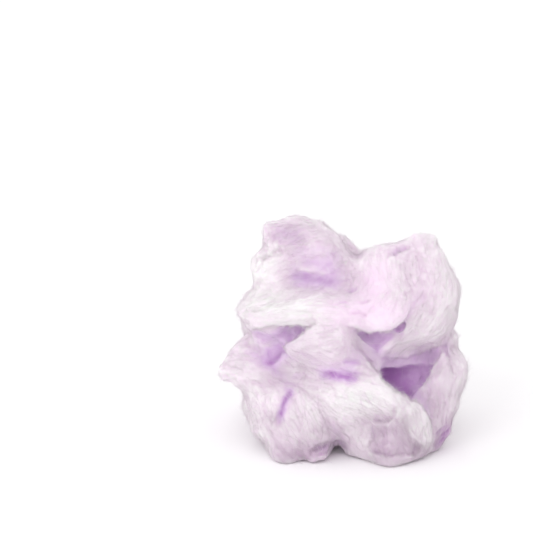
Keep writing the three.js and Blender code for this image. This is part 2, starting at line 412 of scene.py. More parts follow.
BANKS = (
    Bank("tongue bank", ((355, 326), (372, 330), (392, 330), (405, 326), (402, 340), (391, 351), (382, 362),
         (369, 356), (358, 341)), 45.0, (-0.05, -0.1)),
    Bank("under the curl", ((378, 366), (384, 352), (400, 348), (416, 346), (430, 348), (441, 356),
         (438, 367), (419.4, 371), (398.7, 374), (384, 376)), 35.2, (-0.19, -0.1)),
    Bank("hollow bank", ((431, 362), (444, 366), (438, 388), (428, 403), (414, 404), (409, 397),
         (411.5, 389.5), (419, 383.5), (426.5, 380)), 35.0, (0.12, 0.0)),
    Bank("set-back patch", ((250, 330), (266, 327), (288, 327), (290, 345), (289, 354), (283, 360),
         (270.5, 370), (262, 352), (252, 343)), 34.0, (0.05, -0.2)),
)

PITS = (
    Pit("under the tongue", ((359.1, 330.6), (369.4, 333.1), (379.8, 332.3), (391, 332.3), (394.4, 327.1),
        (403.5, 321), (404.2, 326), (400.4, 330.6), (395.3, 334), (391, 338.3), (383.2, 343.5), (378, 352),
        (375.5, 349.5), (369.4, 342.6), (364.3, 337.5)), 43.5, (0.1, -0.03), 1.6, 0.13),
    Pit("deep hollow", ((379.8, 372.9), (386.7, 370.3), (398.7, 369.4), (419.4, 366.9), (432.3, 365.1),
        (430.6, 372), (426.2, 380.6), (419.4, 383.6), (415, 385.5), (411.6, 390), (410.3, 396.5),
        (397, 390), (390, 385.8), (383.2, 379.8)), 28.5, (0.1, 0.0), 1.4, 0.3),
    Pit("shoulder hollow", ((284.5, 326), (292, 326), (304, 329.5), (300, 334), (297, 338), (292, 335)),
        42.5, (0.1, 0.0), 1.3, -0.03),
)

# Most of these patches paint light and shade into the floss: values above zero paint shade, the mauve ones
# most plainly, and values below zero paint light, as on the shoulder, the roll, the bulge, the ridge and the
# saddle. Blush is the floss's own pink and fray its raggedness; the lilac is partly its own colour, partly
# painted shade.
TINTS = (
    Tint("frayed crown", ((268, 228), (266, 238), (271, 248), (259, 258), (255, 270)), 4, fray=1.0),
    Tint("frayed shoulder", ((254, 282), (246, 300), (240, 314), (245, 330)), 4, fray=1.0),
    Tint("frayed arm", ((236, 346), (228, 356), (221, 370), (232, 380), (244, 384)), 4, fray=0.8),
    Tint("frayed top", ((282, 219), (305, 221), (322, 226), (345, 241)), 4, fray=0.5),
    Tint("frayed left foot", ((247, 396), (246, 412), (258, 432)), 4, fray=0.3),
    Tint("frayed peak", ((400, 246), (424, 238), (440, 252), (456, 280)), 4, fray=0.25),
    Tint("crown stain", ((282, 234), (292, 240), (300, 262), (330, 266)), 8, stain=0.18),
    Tint("ridge shade", ((423, 272), (426, 292)), 8, stain=0.08),
    Tint("crown dusk", ((276, 228), (290, 232)), 8, stain=0.06, damp=0.45),
    Tint("pale peak", ((424, 241), (432, 250)), 7, stain=-0.12),
    Tint("patch lilac", ((262, 337), (276, 339), (279, 350), (270, 360)), 6, stain=0.32),
    Tint("low shoulder haze", ((250, 318),), 6, stain=0.16),
    Tint("cheek shade", ((446, 358), (442, 380), (440, 402), (447, 430)), 9, stain=0.02, damp=0.3),
    Tint("bottom roll dusk", ((375, 460), (392, 462), (410, 460)), 4, damp=0.3),
    Tint("groove stain", ((300, 279), (340, 286)), 4, stain=0.04),
    Tint("white shoulder", ((262, 262), (255, 298)), 8, stain=-0.18, damp=-0.2),
    Tint("white roll", ((270, 306), (285, 305), (300, 308)), 6, stain=-0.26, damp=-0.36),
    Tint("white roll end", ((318, 304),), 6, stain=-0.08),
    Tint("arm haze", ((226, 368), (240, 372)), 9, stain=0.04),
    Tint("belly haze", ((300, 350), (320, 345)), 7, stain=0.11),
    Tint("tongue blush", ((374, 276), (368, 300), (385, 318)), 10, stain=-0.03, blush=1.0),
    Tint("hollow corner", ((363, 334),), 3, stain=-0.14),
    Tint("hollow tail", ((401, 325),), 3, stain=-0.14),
    Tint("hollow tip", ((377, 345), (378, 351)), 2.2, stain=0.14),
    Tint("shoulder blush", ((330, 305), (345, 318)), 7, blush=0.5),
    Tint("ridge blush", ((415, 250), (425, 280)), 9, blush=0.4),
    Tint("ridge edge", ((448, 275), (455, 300)), 7, stain=-0.15),
    Tint("groove beside the tongue", ((406, 317), (413, 308), (420, 299)), 4, stain=0.2),
    Tint("curl shade", ((385, 358), (405, 361), (427, 357), (448, 346)), 5, stain=0.24, damp=0.35),
    Tint("belly shade", ((345, 352), (366, 360)), 5, stain=0.12, damp=0.3),
    Tint("groove haze", ((322, 371), (350, 368)), 6.5, stain=0.2),
    Tint("white bulge", ((346, 400), (368, 400)), 8, stain=-0.22, damp=-0.25),
    Tint("pale saddle", ((362, 259),), 6, stain=-0.1, damp=-0.15),
    Tint("white ridge", ((412, 414), (420, 430), (424, 443)), 5, stain=-0.25),
    Tint("cheek lilac", ((440, 400), (430, 392)), 8, stain=0.04),
    Tint("small lobe lilac", ((378, 431), (396, 430), (400, 442), (380, 446)), 5.5, stain=0.07, damp=0.75),
    Tint("arch shade", ((330, 428), (338, 440)), 6, stain=0.13, damp=0.4),
    Tint("left foot shade", ((262, 444), (285, 454), (308, 454)), 6, stain=0.01, damp=0.7),
    Tint("nub dusk", ((318, 450), (330, 447)), 3, damp=0.9),
    Tint("nook dusk", ((416, 447), (424, 456)), 4, damp=0.8),
    Tint("corner dusk", ((443, 442), (452, 430)), 5.5, stain=0.28, damp=1.0),
    Tint("cheek rim", ((443, 352), (436, 363), (430, 374), (423, 385)), 2, stain=-0.12, damp=-0.3),
    Tint("crown haze", ((300, 246), (335, 250), (338, 268)), 8, stain=0.09),
    Tint("crown right haze", ((312, 230), (325, 236)), 7, stain=0.05, damp=0.15),
)

NUDGES = (
    Nudge("crown top", (312, 216), 9, (0, 0, -1.8)),
    Nudge("crown right", (344, 236), 9, (0.8, 0, 1.2)),
    Nudge("saddle notch", (356.5, 250), 6, (0, 0, -2.6)),
    Nudge("crown ledge", (259, 250), 7, (3.8, 0, 0)),
    Nudge("crown left top", (271, 227), 10, (-3.4, 0, 1.5)),
    Nudge("left strip", (251, 282), 9, (-2.2, 0, 0)),
    Nudge("shoulder", (238, 310), 10, (-1.9, 0, 0)),
    Nudge("shoulder low", (243, 328), 12, (-1.4, 0, 0)),
    Nudge("arm tip", (219, 371), 6, (-0.6, 0, 0.8)),
    Nudge("arm underside", (229, 387), 9, (0, 0, 1.6)),
    Nudge("left body", (242, 408), 12, (-3.0, 0, 0)),
    Nudge("left heel", (255, 448), 14, (3.2, 0, 1.6)),
    Nudge("peak left", (410, 238), 6, (0, 0, -1.0)),
    Nudge("peak corner", (433, 238), 7, (1.8, 0, 1.2)),
    Nudge("peak side", (446, 254), 10, (1.4, 0, 0.6)),
    Nudge("ridge side", (459, 284), 14, (2.6, 0, 0)),
    Nudge("ridge top", (455, 268), 9, (3.0, 0, 0)),
    Nudge("cheek shoulder", (465, 349), 10, (-4.6, 0, 0)),
    Nudge("cheek side", (466, 397), 10, (-2.6, 0, 0)),
    Nudge("corner", (452, 433), 8, (2.0, 0, 0)),
    Nudge("left foot", (288, 456), 17, (0, -4, -2.5)),
    Nudge("nub left", (313, 455), 6.5, (0, -3.5, -1.9)),
    Nudge("nub right", (325, 453), 6.5, (0, -3.5, -1.9)),
    Nudge("right foot", (388, 461), 20, (0, -3, -1.5)),
    Nudge("arch", (338, 451), 6.5, (0, 3, 2.8)),
)

COMBS = (
    Comb((270, 240), (305, 228)),
    Comb((262, 262), (292, 240)),
    Comb((285, 262), (345, 268)),
    Comb((250, 300), (275, 280)),
    Comb((262, 305), (330, 310)),
    Comb((250, 325), (300, 322)),
    Comb((350, 250), (352, 300)),
    Comb((375, 250), (372, 320)),
    Comb((395, 260), (396, 312)),
    Comb((420, 240), (432, 290)),
    Comb((440, 300), (430, 332)),
    Comb((405, 345), (440, 325)),
    Comb((300, 345), (340, 330)),
    Comb((305, 365), (350, 375)),
    Comb((340, 345), (372, 372)),
    Comb((370, 380), (400, 398)),
    Comb((225, 365), (262, 372)),
    Comb((280, 390), (270, 430)),
    Comb((310, 400), (330, 440)),
    Comb((350, 400), (400, 410)),
    Comb((385, 430), (400, 455)),
    Comb((420, 405), (425, 445)),
    Comb((450, 360), (452, 420)),
    Comb((260, 430), (300, 450)),
    Comb((-0.4, 0.5, 0.9), (0.1, 0.7, 0.8)),
    Comb((-0.8, 0.5, 0.6), (-0.4, 0.9, 0.5)),
    Comb((0.0, 0.9, 0.6), (0.1, 0.9, 0.2)),
    Comb((0.6, 0.7, 0.8), (0.8, 0.7, 0.4)),
    Comb((0.9, 0.2, 0.7), (0.95, 0.3, 0.2)),
    Comb((-0.9, 0.2, 0.3), (-0.5, 0.8, 0.1)),
    Comb((0.2, 0.9, 0.15), (0.8, 0.7, 0.15)),
    Comb((-0.3, 0.1, 1.0), (0.4, 0.2, 0.9)),
    Comb((-0.8, 0.1, 0.75), (-0.8, -0.3, 0.6)),
)

BACK_PITS = (
    Pit("back hollow", ((246, 372), (258, 369), (270, 372), (286, 381), (272, 386), (264, 396), (255, 384)),
        31.0, (0.2, 0.1), 3.0, 0.1),
    Pit("back fold", ((372, 329), (386, 332), (398, 334), (411, 327), (404, 338), (396, 345), (388, 354),
        (381, 342)), 45.5, (0.05, 0.0), 3.0, 0.06),
    Pit("back cleft", ((338, 398), (347, 391), (357, 395), (353, 408), (346, 420), (341, 410)), 35.0,
        (0.0, -0.1), 3.0, 0.12),
)

BACK_LAYERS = (
    Layer("back crown lip", ((345, 321), (357, 327), (370, 329), (384, 332), (397, 333), (409, 329),
          (421, 322)), 1.7, 7, 0.9, 3.5, 0.14),
    Layer("back lobe lip", ((238, 366), (250, 373), (264, 372), (279, 377), (291, 384), (303, 385)), 1.5, 6,
          0.8, 3, 0.12),
    Layer("back seam", ((314, 330), (309, 318), (307, 305), (311, 292), (317, 281)), 1.2, 6, 0.8, 4, 0.16),
    Layer("back middle roll", ((300, 394), (316, 401), (333, 403), (348, 397), (362, 391), (380, 388),
          (397, 391)), 1.3, 6, 0.8, 3, 0.14),
    Layer("back crown sheet", ((356, 300), (370, 291), (385, 288), (400, 293), (414, 304)), 0.9, 6, 0.7, 4,
          0.08),
    Layer("back foot sheet", ((368, 424), (382, 431), (398, 432), (414, 427), (426, 418)), 0.9, 5, 0.8, 3,
          0.14),
    Layer("back heel sheet", ((242, 419), (258, 427), (276, 427), (294, 421), (308, 412)), 0.9, 5, 0.7, 3,
          0.12),
    Layer("back lobe sheet", ((244, 318), (256, 326), (270, 329), (284, 324), (296, 314)), 0.8, 6, 0.6, 4,
          0.07),
)

BACK_CREASES = (
    Crease("back lobe crease", ((270, 292), (264, 304), (262, 316)), 2.0, 1.1, 0.18),
    Crease("back groove", ((322, 352), (336, 357), (350, 357), (364, 353)), 2.8, 1.3, 0.22),
    Crease("back groove thread", ((330, 362), (344, 364), (358, 361)), 0.8, -0.5, -0.1),
    Crease("back crown groove", ((372, 256), (386, 262), (402, 262), (412, 258)), 2.7, 1.0, 0.16),
    Crease("back heel crease", ((404, 400), (400, 412), (395, 426)), 1.9, 1.4, 0.24),
    Crease("back foot crease", ((288, 396), (281, 408), (277, 422)), 1.9, 1.2, 0.2),
    Crease("right side fold", ((0.9, -0.2, 0.78), (0.98, 0.05, 0.66), (0.95, 0.3, 0.58)), 1.8, 1.2, 0.3),
    Crease("right side crease", ((0.98, -0.3, 0.4), (1.0, 0.0, 0.32), (0.96, 0.25, 0.3)), 1.4, 1.1, 0.36),
    Crease("left side fold", ((-0.85, -0.2, 0.66), (-0.9, 0.1, 0.6), (-0.86, 0.35, 0.52)), 1.8, 1.2, 0.3),
    Crease("left side crease", ((-0.95, -0.1, 0.3), (-0.95, 0.1, 0.22), (-0.9, 0.3, 0.2)), 1.4, 1.1, 0.36),
    Crease("top fold", ((-0.5, 0.3, 1.0), (-0.25, 0.15, 1.0), (0.0, 0.25, 0.95)), 1.8, 1.0, 0.24),
    Crease("top crease", ((0.45, 0.3, 0.95), (0.6, 0.1, 0.98), (0.72, 0.25, 0.92)), 1.5, 1.0, 0.26),
)

# Values above zero paint shade and lilac, partly the floss's own colour, and the mauve at the foot is painted
# shade; values below zero paint the floss paler. Blush is its own pink, fray its raggedness.
BACK_TINTS = (
    Tint("frayed back lobe", ((238, 290), (233, 320), (236, 350)), 5, fray=0.6),
    Tint("frayed back crown", ((362, 226), (382, 220), (404, 226)), 5, fray=0.6),
    Tint("back white crown", ((378, 238), (392, 278)), 9, stain=-0.12),
    Tint("back white lobe", ((262, 288), (268, 345)), 9, stain=-0.12),
    Tint("back white belly", ((318, 372), (345, 378)), 8, stain=-0.12),
    Tint("back white feet", ((262, 408), (285, 412)), 7, stain=-0.1),
    Tint("back blush", ((400, 345), (425, 360)), 10, blush=0.7),
    Tint("back lilac", ((285, 300), (300, 340)), 7, stain=0.08),
    Tint("back groove haze", ((325, 350), (362, 350)), 7, stain=0.12),
    Tint("back dusk", ((255, 436), (285, 440), (390, 442)), 5, damp=0.6),
)

REAR_VIEW = View(place=(0.035, 1.085, 0.428), spin_deg=180)
FRONT = Side(View(), BANKS, PITS, LAYERS, CREASES, TINTS, NUDGES)
BACK = Side(REAR_VIEW, (), BACK_PITS, BACK_LAYERS, BACK_CREASES, BACK_TINTS, ())


class Weave:
    """The way the strands run: at each point of the surface, one direction along it."""

    SWIRL_WAVE = 17 * MM
    SWIRL_TURN = 0.6
    FAR_SHARE = 1e-6

    def __init__(self, centres: np.ndarray, headings: np.ndarray, reaches: np.ndarray) -> None:
        """Keep the combed stretches.

        Args:
            centres: the middle of each stretch.
            headings: the way its strands run, one row each.
            reaches: how far each one counts, in metres.
        """
        self.stretches = list(zip(centres, unit(headings), reaches))
        self.noise = Noise(SEED + 1)

    def at(self, points: np.ndarray, normals: np.ndarray) -> np.ndarray:
        """Find the direction of the strands.

        Args:
            points: places on the surface.
            normals: the surface's normals there.

        Returns:
            One direction of length one along the surface for each point.
        """
        spread = np.zeros((len(points), 3, 3))
        for centre, heading, reach in self.stretches:
            gap = ((points - centre) ** 2).sum(axis=1) / (2 * reach**2)
            weight = np.exp(-gap) + self.FAR_SHARE / (1 + gap)
            spread += weight[:, None, None] * np.outer(heading, heading)
        flat = np.eye(3) - normals[:, :, None] * normals[:, None, :]
        _, vectors = np.linalg.eigh(flat @ spread @ flat)
        along = unit(vectors[:, :, 2] - normals * (vectors[:, :, 2] * normals).sum(axis=1, keepdims=True))
        turn = self.SWIRL_TURN * self.noise.at(points, self.SWIRL_WAVE)[:, None]
        return unit(along * np.cos(turn) + np.cross(normals, along) * np.sin(turn))


@dataclass
class Surface:
    """The floss's surface as arrays.

    Along is the way that the strands run at each point. Edge and over are the sculpture's, and tones are what
    the finish reads.
    """

    points: np.ndarray
    normals: np.ndarray
    triangles: np.ndarray
    tree: BVHTree
    along: np.ndarray = field(default_factory=lambda: np.zeros(0))
    edge: np.ndarray = field(default_factory=lambda: np.zeros(0))
    over: np.ndarray = field(default_factory=lambda: np.zeros(0))
    tones: dict[str, np.ndarray] = field(default_factory=dict)

    FOOT_FADE = 4 * MM

    @classmethod
    def of(cls, piece: bpy.types.Object) -> "Surface":
        """Read an object's mesh.

        Args:
            piece: a mesh object at the origin.

        Returns:
            The surface, with no values yet.
        """
        mesh = piece.data
        count = len(mesh.vertices)
        points = np.zeros(count * 3)
        mesh.vertices.foreach_get("co", points)
        points = points.reshape(-1, 3)
        normals = np.zeros(count * 3)
        mesh.vertex_normals.foreach_get("vector", normals)
        mesh.calc_loop_triangles()
        triangles = np.zeros(len(mesh.loop_triangles) * 3, dtype=np.int32)
        mesh.loop_triangles.foreach_get("vertices", triangles)
        triangles = triangles.reshape(-1, 3)
        tree = BVHTree.FromPolygons(points.tolist(), triangles.tolist())
        return cls(points, normals.reshape(-1, 3), triangles, tree)

    def grounded(self) -> np.ndarray:
        """Tell how free of the floor each point is, from 0 to 1."""
        return np.clip(self.points[:, 2] / self.FOOT_FADE, 0, 1)

    def seen(self, view: View, mark: Pixel | Place) -> np.ndarray | None:
        """Drop a mark onto the surface.

        Args:
            view: the camera.
            mark: a pixel, dropped along its line of sight, or a place in the box, moved to the nearest point.

        Returns:
            The point, or None where the line of sight misses.
        """
        if len(mark) == 2:
            hit = self.tree.ray_cast(*view.ray(mark))[0]
        else:
            hit = self.tree.find_nearest(Vector(spot(*mark)))[0]
        return None if hit is None else np.array(hit)

    def line(self, view: View, name: str, marks: tuple[Pixel | Place, ...]) -> list[np.ndarray]:
        """Drop a row of marks onto the surface.

        Args:
            view: the camera.
            name: what a warning calls the row.
            marks: the marks in order.

        Returns:
            The points found.
        """
        found = [hit for mark in marks if (hit := self.seen(view, mark)) is not None]
        if len(found) < len(marks):
            LOG.warning("%s: %d of %d marks miss the floss", name, len(marks) - len(found), len(marks))
        return found


def line_gap(points: np.ndarray, stops: list[np.ndarray]) -> tuple[np.ndarray, np.ndarray]:
    """Measure how far points lie from a line through several stops.

    Args:
        points: rows of places.
        stops: the line's stops in order; one stop alone is a point.

    Returns:
        The gap of each point, and how far along the line the nearest place lies, from 0 to 1.
    """
    gap = np.linalg.norm(points - stops[0], axis=1)
    share = np.zeros(len(points))
    for n, (start, end) in enumerate(zip(stops, stops[1:])):
        step = end - start
        part = np.clip(((points - start) @ step) / max(step @ step, TINY), 0, 1)
        here = np.linalg.norm(points - start - part[:, None] * step, axis=1)
        nearer = here < gap
        gap = np.where(nearer, here, gap)
        share = np.where(nearer, (n + part) / (len(stops) - 1), share)
    return gap, share


def side_gap(places: np.ndarray, stops: tuple[Pixel, ...]) -> tuple[np.ndarray, np.ndarray, np.ndarray]:
    """Measure in the frame how far places lie to the left of a line, below zero on its right.

    Args:
        places: rows of across and down.
        stops: the line's stops in order.

    Returns:
        The gap in pixels, how far along the line from 0 to 1, and the direction across it to the right.
    """
    marks = [np.array(stop, dtype=float) for stop in stops]
    gap, share = line_gap(places, marks)
    number = np.minimum((share * (len(marks) - 1)).astype(int), len(marks) - 2)
    starts = np.array(marks[:-1])[number]
    steps = unit(np.array(marks[1:]) - np.array(marks[:-1]))[number]
    turned = steps[:, 0] * (places - starts)[:, 1] - steps[:, 1] * (places - starts)[:, 0]
    return np.where(turned < 0, gap, -gap), share, np.stack([-steps[:, 1], steps[:, 0]], axis=1)


def inside_gap(places: np.ndarray, corners: tuple[Pixel, ...]) -> np.ndarray:
    """Measure in the frame how far places lie inside an outline, below zero outside it.

    Args:
        places: rows of across and down.
        corners: the outline's corners in order.

    Returns:
        The gap in pixels.
    """
    marks = [np.array(corner, dtype=float) for corner in corners]
    gap, _ = line_gap(places, [*marks, marks[0]])
    inside = np.zeros(len(places), dtype=bool)
    for start, end in zip(marks, [*marks[1:], marks[0]]):
        spans = (start[1] > places[:, 1]) != (end[1] > places[:, 1])
        rise = end[1] - start[1] if end[1] != start[1] else TINY
        inside ^= spans & (places[:, 0] < start[0] + (places[:, 1] - start[1]) / rise * (end[0] - start[0]))
    return np.where(inside, gap, -gap)


@dataclass
class Sculpture:
    """What the features do to each point of the core.

    It moves by shift and takes on tones. Edge tells how near it lies to a layer's edge, from 0 to 1, and over
    is the way out across that edge.
    """

    shift: np.ndarray
    edge: np.ndarray
    over: np.ndarray
    tones: dict[str, np.ndarray]

    @classmethod
    def blank(cls, count: int) -> "Sculpture":
        """Start with nothing moved."""
        tones = {name: np.zeros(count) for name in ("stain", "blush", "damp", "fray")}
        return cls(np.zeros((count, 3)), np.zeros(count), np.zeros((count, 3)), tones)


@dataclass
class Relief:
    """The features of one side, worked into the core's surface as that side's camera sees them."""

    skin: Surface
    side: Side
    made: Sculpture

    FACING_SLOPE = 2.5
    FACING_START = 0.6
    TEAR_WAVE = 3 * MM
    TEAR_REACH_PX = 1.3
    FINE_TEAR = 0.45
    FINE_TEAR_SHARE = 0.5
    PIT_RIM_PX = 5
    # Painted shade in the hollows: a share at the rim, more towards the middle.
    PIT_RIM_SHADE = 0.65
    PIT_MIDDLE_SHADE = 0.35
    LAYER_REACH = 16 * MM
    LAYER_TAPER = 6
    LAYER_LIP = 0.3 * MM
    LAYER_STEP = 0.2 * MM
    # Painted highlight on a layer's raised lip.
    LAYER_LIP_HIGHLIGHT = 0.06
    EDGE_WIDTH = 0.7 * MM
    CREASE_TAPER = 4
    CREASE_END = 0.05
    CREASE_SHARE = 0.45
    HAZE_WIDTH = 1.8
    HAZE_SHARE = 0.55
    WAVER = 0.45
    WAVER_WAVE = 3.5 * MM
    WAVER_SPAN = (0.4, 2)
    STREAK_MEAN = 0.9
    STREAK = 0.3
    STREAK_WAVE = 2.4 * MM
    STREAK_SPAN = (0.2, 1.4)

    def __post_init__(self) -> None:
        """Find where each point shows, and how far it faces the camera, from 0 to 1."""
        toward = self.skin.normals @ self.side.view.axes()[:, 2]
        self.facing = eased(toward * self.FACING_SLOPE + self.FACING_START)
        self.places = self.torn()

    def torn(self) -> np.ndarray:
        """Find where the points show, with a waver that leaves every edge torn.

        Returns:
            Rows of across and down.
        """
        points = self.skin.points
        places = self.side.view.pixels(points)
        fine_reach = self.FINE_TEAR_SHARE * self.TEAR_REACH_PX
        fine_wave = self.TEAR_WAVE * self.FINE_TEAR
        for n in range(2):
            places[:, n] += self.TEAR_REACH_PX * Noise(SEED + 5 + n).at(points, self.TEAR_WAVE)
            places[:, n] += fine_reach * Noise(SEED + 7 + n).at(points, fine_wave)
        return places

    def hollow(self) -> None:
        """Give each hollow its floor and push the outline."""
        points = self.skin.points
        axis = self.side.view.axes()[:, 2]
        foot = self.skin.grounded()
        for pit in self.side.pits:
            inside = pit.cover(inside_gap(self.places, pit.stops)) * self.facing
            lean = (self.places - np.mean(pit.stops, axis=0)) @ np.array(pit.lean_mm)
            move = (pit.floor_mm + lean) * MM - (points + self.made.shift) @ axis
            self.made.shift += axis * (move * inside * foot)[:, None]
        shown = self.side.view.pixels(points)
        for nudge in self.side.nudges:
            near = np.exp(-((shown - nudge.pixel) ** 2).sum(axis=1) / nudge.reach_px**2)
            self.made.shift += near[:, None] * np.array(nudge.push_mm) * MM

    def stain(self) -> None:
        """Paint shade into the hollows, most in their middle."""
        for pit in self.side.pits:
            gap = inside_gap(self.places, pit.stops)
            inside = pit.cover(gap) * self.facing
            deep = self.PIT_RIM_SHADE + self.PIT_MIDDLE_SHADE * eased(gap / self.PIT_RIM_PX)
            self.made.tones["stain"] += pit.stain * inside * deep

    def layer(self) -> None:
        """Raise each layer along its edge and sink what lies behind it."""
        skin, view, made = self.skin, self.side.view, self.made
        axes = view.axes()
        for layer in self.side.layers:
            gap, share, right = side_gap(self.places, layer.stops)
            gap *= PIXEL
            near, _ = line_gap(skin.points, skin.line(view, layer.name, layer.stops))
            ends = eased(np.minimum(share, 1 - share) * self.LAYER_TAPER) * self.facing
            ends = ends * np.exp(-((near / self.LAYER_REACH) ** 4))
            front, behind = gap.clip(0), gap.clip(None, 0)
            rise = np.exp(-front / (layer.fade_mm * MM)) * (1 - np.exp(-front / self.LAYER_LIP))
            drop = np.exp(behind / (layer.reach_mm * MM)) * (1 - np.exp(behind / self.LAYER_STEP))
            move = layer.rise_mm * MM * rise - layer.drop_mm * MM * drop
            made.shift += skin.normals * (move * ends)[:, None]
            # Painted shade behind the edge and a painted highlight on the lip.
            made.tones["stain"] += (layer.stain * drop - self.LAYER_LIP_HIGHLIGHT * rise) * ends
            edge = np.exp(-(((gap - self.EDGE_WIDTH) / self.EDGE_WIDTH) ** 2)) * ends
            across = right[:, :1] * axes[:, 0] - right[:, 1:] * axes[:, 1]
            made.over = np.where((edge > made.edge)[:, None], across, made.over)
            made.edge = np.maximum(made.edge, edge)

    def press(self) -> None:
        """Press the creases in and draw the threads up."""
        skin, made = self.skin, self.made
        waver = (1 + self.WAVER * Noise(SEED + 5).at(skin.points, self.WAVER_WAVE)).clip(*self.WAVER_SPAN)
        streaky = self.STREAK_MEAN + self.STREAK * Noise(SEED + 6).at(skin.points, self.STREAK_WAVE)
        streaky = streaky.clip(*self.STREAK_SPAN)
        for crease in self.side.creases:
            stops = skin.line(self.side.view, crease.name, crease.stops)
            if len(stops) < 2:
                continue
            gap, share = line_gap(skin.points, stops)
            ends = eased(np.minimum(share, 1 - share) * self.CREASE_TAPER)
            ends = ends * (1 - self.CREASE_END) + self.CREASE_END
            near = np.exp(-((gap / (crease.width_mm * MM * waver)) ** 2)) * ends
            wide = np.exp(-((gap / (crease.width_mm * MM * self.HAZE_WIDTH)) ** 2)) * ends
            made.shift -= skin.normals * (crease.depth_mm * MM * near)[:, None]
            # Painted shade along the crease and in a wider haze round it.
            blend = self.CREASE_SHARE * near + self.HAZE_SHARE * wide
            made.tones["stain"] += crease.stain * blend * streaky

    def tint(self) -> None:
        """Change the tones of the tinted patches."""
        for tint in self.side.tints:
            stops = self.skin.line(self.side.view, tint.name, tint.stops)
            if not stops:
                continue
            gap, _ = line_gap(self.skin.points, stops)
            near = np.exp(-((gap / (tint.reach_mm * MM)) ** 2))
            # Each patch adds its values: the floss's own pink and raggedness, lilac, painted shade and
            # painted light.
            for name in self.made.tones:
                self.made.tones[name] += getattr(tint, name) * near


@dataclass(frozen=True)
class Depth:
    """A measure of how deep a point lies between the lobes: how soon rays that leave it meet floss."""

    reach: float = 34 * MM
    rays: int = 96
    spots: int = 9000
    graze: float = 0.1
    lift_mm: float = 0.4
    blend: int = 8
    blend_gap: float = 0.6 * MM
    blend_least: float = 0.02

    def fan(self) -> np.ndarray:
        """Spread the rays evenly over a ball.

        Returns:
            Rows of directions.
        """
        turn = np.arange(self.rays) * math.pi * (3 - math.sqrt(5))
        height = 1 - (2 * np.arange(self.rays) + 1) / self.rays
        ring = np.sqrt(1 - height**2)
        return np.stack([ring * np.cos(turn), ring * np.sin(turn), height], axis=1)

    def closed(self, skin: Surface, index: int, rays: np.ndarray) -> float:
        """Measure how closed in one point is.

        Args:
            skin: the core's surface.
            index: the point's number.
            rays: directions over a ball.

        Returns:
            0 in the open, and nearer to 1 the more floss stands close by.
        """
        point, normal = skin.points[index], skin.normals[index]
        facing = rays @ normal
        outward = facing > self.graze
        start = Vector(point + normal * self.lift_mm * MM)
        blocked = 0.0
        for ray, weight in zip(rays[outward], facing[outward]):
            gap = skin.tree.ray_cast(start, Vector(ray), self.reach)[3]
            if gap is not None:
                blocked += weight * (1 - gap / self.reach)
        return blocked / facing[outward].sum()

    def at(self, skin: Surface) -> np.ndarray:
        """Measure some of the points, and blend every point's depth from those near it.

        Args:
            skin: the core's surface before it is combed.

        Returns:
            One value a point, from 0 on a crest towards 1 in a hollow.
        """
        draw = np.random.default_rng(SEED + 2)
        chosen = draw.choice(len(skin.points), size=min(self.spots, len(skin.points)), replace=False)
        rays = self.fan()
        values = [self.closed(skin, index, rays) for index in chosen]
        known = KDTree(len(chosen))
        for n, index in enumerate(chosen):
            known.insert(skin.points[index], n)
        known.balance()
        depth = np.zeros(len(skin.points))
        for n, (point, normal) in enumerate(zip(skin.points, skin.normals)):
            total = weights = 0.0
            for _, other, gap in known.find_n(point, self.blend):
                facing = max(float(normal @ skin.normals[chosen[other]]), 0.0)
                weight = (facing + self.blend_least) / (gap + self.blend_gap) ** 2
                total += weight * values[other]
                weights += weight
            depth[n] = total / weights
        return depth


